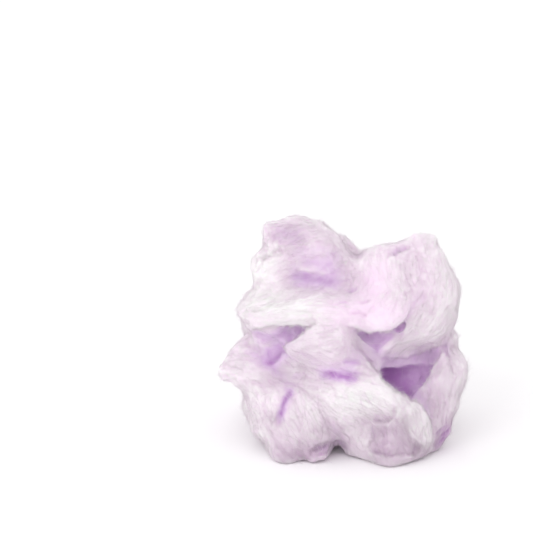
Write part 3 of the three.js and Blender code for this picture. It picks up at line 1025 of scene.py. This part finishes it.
@dataclass
class FlossCore:
    """The body of the tuft: the solid's lobes, softened, cut into layers and creases, and finely combed."""

    # The skin.
    voxel: float = 0.79 * MM
    merge_gap: float = 0.005 * MM
    soften: float = 0.5
    soften_steps: int = 12
    resoften_steps: int = 2
    inset: float = 0.7 * MM
    depth: Depth = Depth()

    # Soft lumps, each a wave and a height, and ragged patches.
    lumps: tuple[tuple[float, float], ...] = ((14 * MM, 0.6 * MM), (5 * MM, 0.25 * MM), (2.2 * MM, 0.1 * MM))
    fray_wave: float = 2.2 * MM
    fray_height: float = 0.5 * MM

    # Thin torn sheets and fine combing.
    terrace_wave: float = 9 * MM
    terrace_run: float = 7 * MM
    terrace_count: float = 1.1
    terrace_tear: float = 0.35
    terrace_tear_wave: float = 3 * MM
    terrace_edge: float = 0.16
    terrace_height: float = 0.22 * MM
    comb_wave: float = 2.6 * MM
    comb_run: float = 5 * MM
    comb_height: float = 0.06 * MM
    calm_blush: float = 0.8
    calm_in_shade: float = 0.7

    # Tones. Each streak is a share, a wave and how far it is drawn out.
    stain_base: float = 0.08
    # Painted shade: purple laid in by how deep a point lies.
    depth_shade: float = 0.9
    # Painted light on the raised side of each thin sheet.
    sheet_highlight: float = 0.05
    streaks: tuple[tuple[float, float, float], ...] = ((0.025, 1.7 * MM, 7 * MM), (0.035, 5 * MM, 12 * MM))
    # Painted mauve shade that grows towards the floor: its height, curve and strength, and how much painted
    # light a patch may take.
    painted_shade_height: float = 13 * MM
    painted_shade_curve: float = 1.5
    painted_shade_foot: float = 0.5
    painted_shade_least: float = -0.4

    def fill(self, bank: Bank, view: View) -> bpy.types.Object:
        """Make the solid that fills a gap, straight back along the lines of sight.

        Args:
            bank: what to make.
            view: the camera.

        Returns:
            The solid, with a crowned front.
        """
        corners = np.array(bank.stops, dtype=float)
        middle = corners.mean(axis=0)
        axis = view.axes()[:, 2]
        points = []
        for back_mm, share in bank.rings:
            for corner in middle + (corners - middle) * share:
                start, way = (np.array(part) for part in view.ray(tuple(corner)))
                front = (bank.front_mm + (corner - middle) @ np.array(bank.lean_mm) - back_mm) * MM
                points.append(start + way * (front - start @ axis) / (way @ axis))
        count = len(corners)
        faces = [tuple(range(count)), tuple(reversed(range(len(points) - count, len(points))))]
        for ring, n in itertools.product(range(len(bank.rings) - 1), range(count)):
            here, beside = ring * count + n, ring * count + (n + 1) % count
            faces.append((here, here + count, beside + count, beside))
        mesh = bpy.data.meshes.new(bank.name)
        mesh.from_pydata(points, [], faces)
        solid = bpy.data.objects.new(bank.name, mesh)
        bpy.context.scene.collection.objects.link(solid)
        return solid

    def model(self, sides: tuple[Side, ...]) -> bpy.types.Object:
        """Copy the solid's mesh, merge it, fill its gaps, and round it into one even skin.

        Args:
            sides: what is worked into it, side by side.

        Returns:
            The core, still without creases.
        """
        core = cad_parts[NODE].copy()
        core.data = core.data.copy()
        core.name = core.data.name = "floss_core"
        bpy.context.scene.collection.objects.link(core)
        core.data.materials.clear()
        activate(core)
        bpy.ops.object.mode_set(mode="EDIT")
        bpy.ops.mesh.select_all(action="SELECT")
        bpy.ops.mesh.remove_doubles(threshold=self.merge_gap)
        bpy.ops.object.mode_set(mode="OBJECT")
        self.modify("SUBSURF", levels=1, render_levels=1)
        for side in sides:
            for bank in side.banks:
                self.fill(bank, side.view).select_set(True)
        bpy.ops.object.join()
        bpy.ops.object.mode_set(mode="EDIT")
        bpy.ops.mesh.select_all(action="SELECT")
        bpy.ops.mesh.normals_make_consistent(inside=False)
        bpy.ops.object.mode_set(mode="OBJECT")
        self.even(self.soften_steps)
        return core

    def even(self, steps: int) -> None:
        """Make the active object one even skin and soften it so many times."""
        self.modify("REMESH", mode="VOXEL", voxel_size=self.voxel)
        self.modify("SMOOTH", factor=self.soften, iterations=steps)

    def modify(self, kind: str, **values: object) -> None:
        """Add a modifier to the active object and apply it.

        Args:
            kind: the modifier's type.
            **values: its settings.
        """
        bpy.ops.object.modifier_add(type=kind)
        modifier = bpy.context.object.modifiers[-1]
        for name, value in values.items():
            setattr(modifier, name, value)
        bpy.ops.object.modifier_apply(modifier=modifier.name)

    def swell(self, skin: Surface, made: Sculpture) -> np.ndarray:
        """Swell the floss in soft lumps, and leave it ragged where it is frayed.

        Args:
            skin: the core's surface before it is combed.
            made: what is done to each point.

        Returns:
            A height in metres for each point.
        """
        high = sum(
            Noise(SEED + 20 + n).at(skin.points, wave) * height
            for n, (wave, height) in enumerate(self.lumps)
        )
        return high + Noise(SEED + 24).at(skin.points, self.fray_wave) * made.tones["fray"] * self.fray_height

    @staticmethod
    def weave(skin: Surface, view: View) -> Weave:
        """Gather the combed stretches that lie on the floss.

        Args:
            skin: the core's surface.
            view: the camera.

        Returns:
            The way the strands run.
        """
        found = [(skin.seen(view, comb.start), skin.seen(view, comb.end), comb) for comb in COMBS]
        found = [(start, end, comb) for start, end, comb in found if start is not None and end is not None]
        centres = np.array([(start + end) / 2 for start, end, _ in found])
        headings = np.array([end - start for start, end, _ in found])
        return Weave(centres, headings, np.array([comb.reach_mm * MM for _, _, comb in found]))

    def terrace(self, points: np.ndarray, along: np.ndarray) -> np.ndarray:
        """Lay the floss in thin torn sheets, each ending in an edge over the next.

        Args:
            points: places on the surface.
            along: the strands' direction at each.

        Returns:
            A height from -0.5 to 0.5 for each point.
        """
        bands = Noise(SEED + 12).drawn(points, along, self.terrace_wave, self.terrace_run)
        tears = Noise(SEED + 13).at(points, self.terrace_tear_wave)
        bands = bands * self.terrace_count + self.terrace_tear * tears
        part = bands - np.floor(bands)
        return 0.5 - part + eased((part - (1 - self.terrace_edge)) / self.terrace_edge)

    def build(self, sides: tuple[Side, ...]) -> tuple[bpy.types.Object, Surface]:
        """Make the core and the values that its finish and its strands read.

        Args:
            sides: what is worked into it, side by side.

        Returns:
            The finished core and its surface.
        """
        core = self.model(sides)

        # The hollows, cut before the skin is made even once more.
        skin = Surface.of(core)
        made = Sculpture.blank(len(skin.points))
        for side in sides:
            Relief(skin, side, made).hollow()
        self.place(core, skin.points + made.shift)
        self.even(self.resoften_steps)

        # The layers, creases, tints and lumps.
        skin = Surface.of(core)
        made = Sculpture.blank(len(skin.points))
        # How deep each point lies, which paints purple shade into its colour further on.
        depth = self.depth.at(skin)
        for side in sides:
            relief = Relief(skin, side, made)
            relief.stain()
            relief.layer()
            relief.press()
            relief.tint()
        foot = skin.grounded()[:, None]
        swell = (self.swell(skin, made) - self.inset)[:, None]
        self.place(core, skin.points + (made.shift + skin.normals * swell) * foot)

        # The thin sheets and the combing, calm on the tongue and in the folds.
        skin = Surface.of(core)
        along = self.weave(skin, sides[0].view).at(skin.points, skin.normals)
        calm = 1 - self.calm_blush * np.clip(made.tones["blush"], 0, 1)
        calm = calm * (1 - self.calm_in_shade * np.clip(made.tones["stain"], 0, 1))
        sheets = self.terrace(skin.points, along) * calm
        combed = np.tanh(Noise(SEED + 14).drawn(skin.points, along, self.comb_wave, self.comb_run))
        height = self.terrace_height * sheets + self.comb_height * combed * calm
        self.place(core, skin.points + skin.normals * height[:, None] * foot)

        # The values that the finish and the strands read.
        skin = Surface.of(core)
        skin.along, skin.edge, skin.over = along, made.edge, made.over
        # Painted shade, darker towards the floor.
        low = np.clip(1 - skin.points[:, 2] / self.painted_shade_height, 0, 1) ** self.painted_shade_curve
        streaks = sum(
            part * Noise(SEED + 15 + n).drawn(skin.points, along, wave, run)
            for n, (part, wave, run) in enumerate(self.streaks)
        )
        # Painted shade by depth, added to the patches' own colour and painted shade.
        stain = self.stain_base + depth * self.depth_shade + made.tones["stain"]
        skin.tones = {
            "stain": np.clip(stain - self.sheet_highlight * sheets + streaks * calm, 0, 1),
            "blush": np.clip(made.tones["blush"], 0, 1),
            "damp": np.clip(made.tones["damp"] + self.painted_shade_foot * low, self.painted_shade_least, 1),
        }
        for name, values in skin.tones.items():
            carry(core.data, name, values)
        activate(core)
        bpy.ops.object.shade_smooth()
        return core, skin

    @staticmethod
    def place(core: bpy.types.Object, points: np.ndarray) -> None:
        """Move the core's points, none of them under the floor.

        Args:
            core: the object to change.
            points: where its points go.
        """
        placed = points.copy()
        placed[:, 2] = np.maximum(placed[:, 2], 0)
        core.data.vertices.foreach_set("co", placed.ravel())
        core.data.update()


class Lie(Enum):
    """How a strand lies on the floss."""

    COMBED = "close along the surface"
    LOOSE = "standing off it and curling"
    FRINGE = "hanging over the edge of a layer"


@dataclass(frozen=True)
class Strands:
    """One kind of sugar strand, scattered over the core as one piece."""

    name: str
    lie: Lie
    count: int
    rings: int
    length: tuple[float, float]
    radius: tuple[float, float]
    lift_deg: tuple[float, float]
    stray_deg: float
    curl: float
    hover: float
    pale: float
    seed: int

    SIDES = 3
    SOLE = 0.6 * MM
    THIN_FROM = 1.05
    THIN_CURVE = 1.5
    SMOOTH_SHARE = 0.75
    ARCH = 0.5
    ROOT_DEPTH = 0.1 * MM
    END_DEPTH = 0.05 * MM
    BOLD_STEP = 1.5
    BELLY = 0.6
    TUFT_WAVE = 2.4 * MM
    TUFT_MEAN = 0.9
    TUFT_SPREAD = 1.5
    TUFT_LEAST = 0.25
    TUFT_MOST = 2.2

    def roots(self, skin: Surface, draw: np.random.Generator) -> tuple[np.ndarray, ...]:
        """Pick where the strands start: fewer in the hollows and on the tongue, none on the foot's sole.

        Args:
            skin: the core's surface.
            draw: the random draw.

        Returns:
            Points, normals and directions, and the number and share of the corners that each lies between.
        """
        corners = skin.points[skin.triangles]
        area = np.linalg.norm(np.cross(corners[:, 1] - corners[:, 0], corners[:, 2] - corners[:, 0]), axis=1)
        stain = skin.tones["stain"][skin.triangles].mean(axis=1)
        smooth = skin.tones["blush"][skin.triangles].mean(axis=1)
        weight = area * (self.THIN_FROM - stain) ** self.THIN_CURVE * (1 - self.SMOOTH_SHARE * smooth)
        weight *= corners[:, :, 2].mean(axis=1) > self.SOLE
        if self.lie is Lie.FRINGE:
            weight *= skin.edge[skin.triangles].mean(axis=1) ** 2
        chosen = draw.choice(len(area), size=self.count, p=weight / weight.sum())
        share = draw.dirichlet((1, 1, 1), size=self.count)
        picked = skin.triangles[chosen]
        point = np.einsum("nk,nkd->nd", share, skin.points[picked])
        normal = unit(np.einsum("nk,nkd->nd", share, skin.normals[picked]))
        if self.lie is Lie.FRINGE:
            along = skin.over[picked[:, 0]]
            along = unit(along - normal * (along * normal).sum(axis=1, keepdims=True))
        else:
            along = skin.along[picked[:, 0]] * draw.choice((-1.0, 1.0), size=(self.count, 1))
        return point, normal, along, picked, share

    def paths(self, skin: Surface, draw: np.random.Generator) -> tuple[np.ndarray, dict[str, np.ndarray]]:
        """Run each strand from its root.

        Args:
            skin: the core's surface.
            draw: the random draw.

        Returns:
            The points of each strand and its tones.
        """
        root, normal, along, picked, share = self.roots(skin, draw)
        tones = {name: np.einsum("nk,nk->n", share, values[picked]) for name, values in skin.tones.items()}
        side = unit(np.cross(normal, along))
        stray = np.radians(draw.normal(0, self.stray_deg, size=(self.count, 1)))
        heading = along * np.cos(stray) + side * np.sin(stray)
        side = unit(np.cross(normal, heading))
        lift = np.radians(draw.uniform(*self.lift_deg, size=(self.count, 1)))
        length = draw.uniform(*self.length, size=(self.count, 1))
        if self.lie is Lie.LOOSE:
            tufts = Noise(SEED + 40).at(root, self.TUFT_WAVE)[:, None]
            length *= np.clip(self.TUFT_MEAN + self.TUFT_SPREAD * tufts, self.TUFT_LEAST, self.TUFT_MOST)
        bend = draw.normal(0, self.curl, size=(self.count, 1))
        rise = draw.normal(0, self.curl * self.ARCH, size=(self.count, 1))
        shares = np.linspace(0, 1, self.rings + 2)
        points = np.zeros((self.count, len(shares), 3))
        for n, part in enumerate(shares):
            reach = length * part
            points[:, n] = (
                root
                + heading * reach * np.cos(lift)
                + normal * (reach * np.sin(lift) + rise * reach * part - self.ROOT_DEPTH)
                + side * bend * reach * part
            )
        if self.lie is Lie.COMBED:
            self.settle(points, skin, draw)
            points, tones = self.unbridged(points, tones)
        points[:, :, 2] = np.maximum(points[:, :, 2], self.radius[1])
        return points, tones

    def settle(self, points: np.ndarray, skin: Surface, draw: np.random.Generator) -> None:
        """Lay the strands' points onto the surface, each a little way off it.

        Args:
            points: the strands' points, changed in place.
            skin: the core's surface.
            draw: the random draw.
        """
        gaps = draw.uniform(0, self.hover, size=points.shape[:2])
        gaps[:, 0] = gaps[:, -1] = -self.END_DEPTH
        flat = points.reshape(-1, 3)
        for n, (point, gap) in enumerate(zip(flat, gaps.ravel())):
            hit, normal, _, _ = skin.tree.find_nearest(Vector(point))
            flat[n] = np.array(hit) + np.array(normal) * gap

    def unbridged(
        self, points: np.ndarray, tones: dict[str, np.ndarray]
    ) -> tuple[np.ndarray, dict[str, np.ndarray]]:
        """Leave out the strands that jump across a hollow.

        Args:
            points: the strands' points.
            tones: their tones.

        Returns:
            The strands that stay on the floss, and their tones.
        """
        steps = np.linalg.norm(np.diff(points, axis=1), axis=2)
        even = steps.max(axis=1) < self.BOLD_STEP * np.median(steps, axis=1)
        return points[even], {name: values[even] for name, values in tones.items()}

    def build(self, skin: Surface) -> bpy.types.Object:
        """Make every strand of this kind as one mesh of thin closed spindles.

        Args:
            skin: the core's surface.

        Returns:
            The finished piece.
        """
        draw = np.random.default_rng(self.seed)
        points, tones = self.paths(skin, draw)
        total = len(points)
        inner = points[:, 1:-1]
        step = unit(points[:, 2:] - points[:, :-2])
        across = unit(np.cross(step, unit(draw.normal(size=(total, 1, 3)))))
        upward = np.cross(step, across)
        radius = draw.uniform(*self.radius, size=(total, 1, 1))
        swell = np.sin(np.pi * np.linspace(0, 1, self.rings + 2)[1:-1]) ** self.BELLY
        thick = radius * swell[None, :, None]
        turns = [2 * math.pi * n / self.SIDES for n in range(self.SIDES)]
        rings = [inner + thick * (across * math.cos(turn) + upward * math.sin(turn)) for turn in turns]
        rings = np.stack(rings, axis=2)
        vertices = np.concatenate([points[:, :1], rings.reshape(total, -1, 3), points[:, -1:]], axis=1)
        size = vertices.shape[1]
        faces = self.faces(size)[None] + np.arange(total)[:, None, None] * size
        piece = self.mesh(vertices.reshape(-1, 3), faces.reshape(-1, 3))
        # Each strand takes the colour and painted shade of its root, a little paler.
        tones["stain"] = np.clip(tones["stain"] - self.pale, 0, 1)
        for name, values in tones.items():
            carry(piece.data, name, np.repeat(values, size))
        return piece

    def faces(self, size: int) -> np.ndarray:
        """List one spindle's triangles.

        Args:
            size: how many points the spindle has.

        Returns:
            Rows of three point numbers, facing out.
        """
        sides = range(self.SIDES)
        first = [1 + s for s in sides]
        final = [size - 1 - self.SIDES + s for s in sides]
        found = [(0, first[(s + 1) % self.SIDES], first[s]) for s in sides]
        for ring in range(self.rings - 1):
            near = [1 + ring * self.SIDES + s for s in sides]
            for s in sides:
                a, b = near[s], near[(s + 1) % self.SIDES]
                found += [(a, b, b + self.SIDES), (a, b + self.SIDES, a + self.SIDES)]
        found += [(size - 1, final[s], final[(s + 1) % self.SIDES]) for s in sides]
        return np.array(found)

    def mesh(self, vertices: np.ndarray, triangles: np.ndarray) -> bpy.types.Object:
        """Make an object from points and triangles.

        Args:
            vertices: rows of places.
            triangles: rows of point numbers.

        Returns:
            The object.
        """
        mesh = bpy.data.meshes.new(self.name)
        mesh.vertices.add(len(vertices))
        mesh.vertices.foreach_set("co", vertices.ravel().astype(np.float32))
        mesh.loops.add(triangles.size)
        mesh.loops.foreach_set("vertex_index", triangles.ravel().astype(np.int32))
        mesh.polygons.add(len(triangles))
        mesh.polygons.foreach_set("loop_start", np.arange(len(triangles), dtype=np.int32) * 3)
        mesh.update(calc_edges=True)
        mesh.validate()
        piece = bpy.data.objects.new(self.name, mesh)
        bpy.context.scene.collection.objects.link(piece)
        activate(piece)
        bpy.ops.object.shade_smooth()
        return piece


STRANDS = (
    Strands("floss_long_strands", Lie.COMBED, 6000, 4, (8 * MM, 22 * MM), (0.03 * MM, 0.055 * MM),
            (2, 8), 10, 0.14, 0.25 * MM, 0.04, SEED + 31),
    Strands("floss_short_strands", Lie.COMBED, 12000, 2, (3 * MM, 9 * MM), (0.03 * MM, 0.055 * MM),
            (2, 10), 20, 0.2, 0.3 * MM, 0.02, SEED + 32),
    Strands("floss_fuzz", Lie.LOOSE, 33000, 1, (1.0 * MM, 3.2 * MM), (0.02 * MM, 0.035 * MM),
            (10, 50), 40, 0.2, 0, 0.04, SEED + 33),
    Strands("floss_wisps", Lie.LOOSE, 9000, 3, (2.4 * MM, 5 * MM), (0.022 * MM, 0.038 * MM),
            (4, 18), 26, 0.35, 0, 0.04, SEED + 34),
    Strands("floss_fringe", Lie.FRINGE, 5000, 2, (0.8 * MM, 3.2 * MM), (0.03 * MM, 0.06 * MM),
            (-4, 14), 28, 0.4, 0, 0.1, SEED + 35),
)


@dataclass(frozen=True)
class FlossFinish:
    """Spun sugar: matt, near white where thin and lit, lilac to purple painted shade where it lies deep."""

    crest: Colour = (0.942, 0.914, 0.932)
    mid: Colour = (0.904, 0.848, 0.894)
    fold: Colour = (0.865, 0.765, 0.885)
    hollow: Colour = (0.765, 0.575, 0.805)
    blushed: Colour = (0.995, 0.95, 0.995)
    # Painted shade: the mauve multiplied into the colour where the floss should look shaded.
    painted_shade_colour: Colour = (0.85, 0.805, 0.85)
    fold_stops: tuple[float, float, float] = (0.25, 0.55, 0.95)
    mottle_wave: float = 9 * MM
    mottle_detail: float = 3
    mottle: float = 0.06
    grain_wave: float = 0.5 * MM
    grain_detail: float = 2
    grain_height: float = 0.2 * MM
    grain_strength: float = 0.2
    roughness: float = 0.92
    shine: float = 0.15
    sheen: float = 0.3
    glow: float = 0.7
    glow_reach: float = 8 * MM
    glow_mix: Colour = (1.0, 0.72, 1.0)

    def group(self) -> bpy.types.NodeTree:
        """Build the shared effect that turns a strand's depth into painted shade in its colour.

        Returns:
            The node group, with Stain, Blush and Damp in, and Colour and Grain out.
        """
        tree = bpy.data.node_groups.new("floss_colour", "ShaderNodeTree")
        for name, way, kind in (
            ("Stain", "INPUT", "NodeSocketFloat"),
            ("Blush", "INPUT", "NodeSocketFloat"),
            ("Damp", "INPUT", "NodeSocketFloat"),
            ("Colour", "OUTPUT", "NodeSocketColor"),
            ("Grain", "OUTPUT", "NodeSocketFloat"),
        ):
            tree.interface.new_socket(name=name, in_out=way, socket_type=kind)
        nodes, links = tree.nodes, tree.links
        inputs = nodes.new("NodeGroupInput")
        outputs = nodes.new("NodeGroupOutput")
        place = nodes.new("ShaderNodeTexCoord")
        mottle, grain = nodes.new("ShaderNodeTexNoise"), nodes.new("ShaderNodeTexNoise")
        for noise, wave, detail in (
            (mottle, self.mottle_wave, self.mottle_detail),
            (grain, self.grain_wave, self.grain_detail),
        ):
            noise.inputs["Scale"].default_value = 1 / wave
            noise.inputs["Detail"].default_value = detail
            links.new(place.outputs["Object"], noise.inputs["Vector"])
        links.new(grain.outputs["Fac"], outputs.inputs["Grain"])
        spread = nodes.new("ShaderNodeMath")
        spread.operation = "MULTIPLY_ADD"
        spread.inputs[1].default_value = 2 * self.mottle
        spread.inputs[2].default_value = -self.mottle
        links.new(mottle.outputs["Fac"], spread.inputs[0])
        total = nodes.new("ShaderNodeMath")
        total.operation = "ADD"
        links.new(inputs.outputs["Stain"], total.inputs[0])
        links.new(spread.outputs[0], total.inputs[1])
        ramp = nodes.new("ShaderNodeValToRGB")
        stops = ramp.color_ramp.elements
        stops[0].position = 0.0
        stops[0].color = linear(self.crest)
        stops[1].position = self.fold_stops[-1]
        stops[1].color = linear(self.hollow)
        for position, shade in zip(self.fold_stops, (self.mid, self.fold)):
            stops.new(position).color = linear(shade)
        links.new(total.outputs[0], ramp.inputs["Fac"])
        colour = ramp.outputs["Color"]
        # Blush multiplies in the floss's own pink; the second mix multiplies in painted mauve shade, and
        # below zero paints light.
        for name, shade in (("Blush", self.blushed), ("Damp", self.painted_shade_colour)):
            mix = nodes.new("ShaderNodeMix")
            mix.data_type = "RGBA"
            mix.blend_type = "MULTIPLY"
            mix.clamp_factor = False
            mix.inputs["B"].default_value = linear(shade)
            links.new(inputs.outputs[name], mix.inputs["Factor"])
            links.new(colour, mix.inputs["A"])
            colour = mix.outputs["Result"]
        links.new(colour, outputs.inputs["Colour"])
        return tree

    def material(self, name: str, group: bpy.types.NodeTree, glow: float, bump: float) -> bpy.types.Material:
        """Make a finish for pieces of floss.

        Args:
            name: the material's name.
            group: the shared colour effect.
            glow: how much light passes under the surface.
            bump: how strongly the grain shows.

        Returns:
            The material.
        """
        material = bpy.data.materials.new(name)
        material.use_nodes = True
        nodes, links = material.node_tree.nodes, material.node_tree.links
        shader = nodes["Principled BSDF"]
        for socket, value in (
            ("Roughness", self.roughness),
            ("Specular IOR Level", self.shine),
            ("Sheen Weight", self.sheen),
            ("Subsurface Weight", glow),
            ("Subsurface Radius", self.glow_mix),
            ("Subsurface Scale", self.glow_reach),
        ):
            shader.inputs[socket].default_value = value
        effect = nodes.new("ShaderNodeGroup")
        effect.node_tree = group
        for tone in ("Stain", "Blush", "Damp"):
            reader = nodes.new("ShaderNodeAttribute")
            reader.attribute_name = tone.lower()
            links.new(reader.outputs["Fac"], effect.inputs[tone])
        links.new(effect.outputs["Colour"], shader.inputs["Base Color"])
        if bump:
            raised = nodes.new("ShaderNodeBump")
            raised.inputs["Strength"].default_value = bump
            raised.inputs["Distance"].default_value = self.grain_height
            links.new(effect.outputs["Grain"], raised.inputs["Height"])
            links.new(raised.outputs["Normal"], shader.inputs["Normal"])
        return material


@dataclass(frozen=True)
class Studio:
    """A plain pale floor and soft light from the upper left."""

    floor_side: float = 8.0
    floor_drop: float = 0.05 * MM
    floor_shade: Colour = (0.985, 0.98, 0.985)
    floor_roughness: float = 0.9
    sky: float = 1.05
    key_place: Place = (-0.7, -0.9, 0.9)
    key_side: float = 0.8
    key_power: float = 4.0
    aim: Place = (0.0, 0.0, 0.05)

    def build(self) -> None:
        """Make the floor and the lights."""
        deselect()
        middle = (0, self.floor_side / 4, -self.floor_drop)
        bpy.ops.mesh.primitive_plane_add(size=self.floor_side, location=middle)
        floor = bpy.context.object
        floor.name = "floor"
        bpy.ops.object.transform_apply(location=True)
        paint = bpy.data.materials.new("floor_paint")
        paint.use_nodes = True
        shader = paint.node_tree.nodes["Principled BSDF"]
        shader.inputs["Base Color"].default_value = linear(self.floor_shade)
        shader.inputs["Roughness"].default_value = self.floor_roughness
        floor.data.materials.append(paint)
        world = bpy.data.worlds.new("studio")
        world.use_nodes = True
        background = world.node_tree.nodes["Background"]
        background.inputs["Color"].default_value = (1, 1, 1, 1)
        background.inputs["Strength"].default_value = self.sky
        bpy.context.scene.world = world
        deselect()
        bpy.ops.object.light_add(type="AREA", location=self.key_place)
        key = bpy.context.object
        key.data.size = self.key_side
        key.data.energy = self.key_power
        key.rotation_euler = (Vector(self.aim) - key.location).to_track_quat("-Z", "Y").to_euler()
        bpy.context.scene.view_settings.view_transform = "Standard"


def dress(piece: bpy.types.Object, material: bpy.types.Material) -> None:
    """Give a piece its finish and let it ride with the tuft.

    Args:
        piece: the piece.
        material: its finish.
    """
    piece.data.materials.clear()
    piece.data.materials.append(material)
    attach(piece, BODY)
    piece.data.calc_loop_triangles()
    LOG.info("%s: %d triangles", piece.name, len(piece.data.loop_triangles))


def main() -> None:
    """Build the tuft and its studio, in order."""
    logging.basicConfig(level=logging.INFO, format="%(message)s")
    FRONT.view.build()
    Studio().build()
    finish = FlossFinish()
    group = finish.group()
    core, skin = FlossCore().build((FRONT, BACK))
    dress(core, finish.material("floss_core_finish", group, finish.glow, finish.grain_strength))
    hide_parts(NODE)
    strand_finish = finish.material("floss_strand_finish", group, 0.0, 0.0)
    for kind in STRANDS:
        dress(kind.build(skin), strand_finish)


if __name__ == "__main__":
    main()
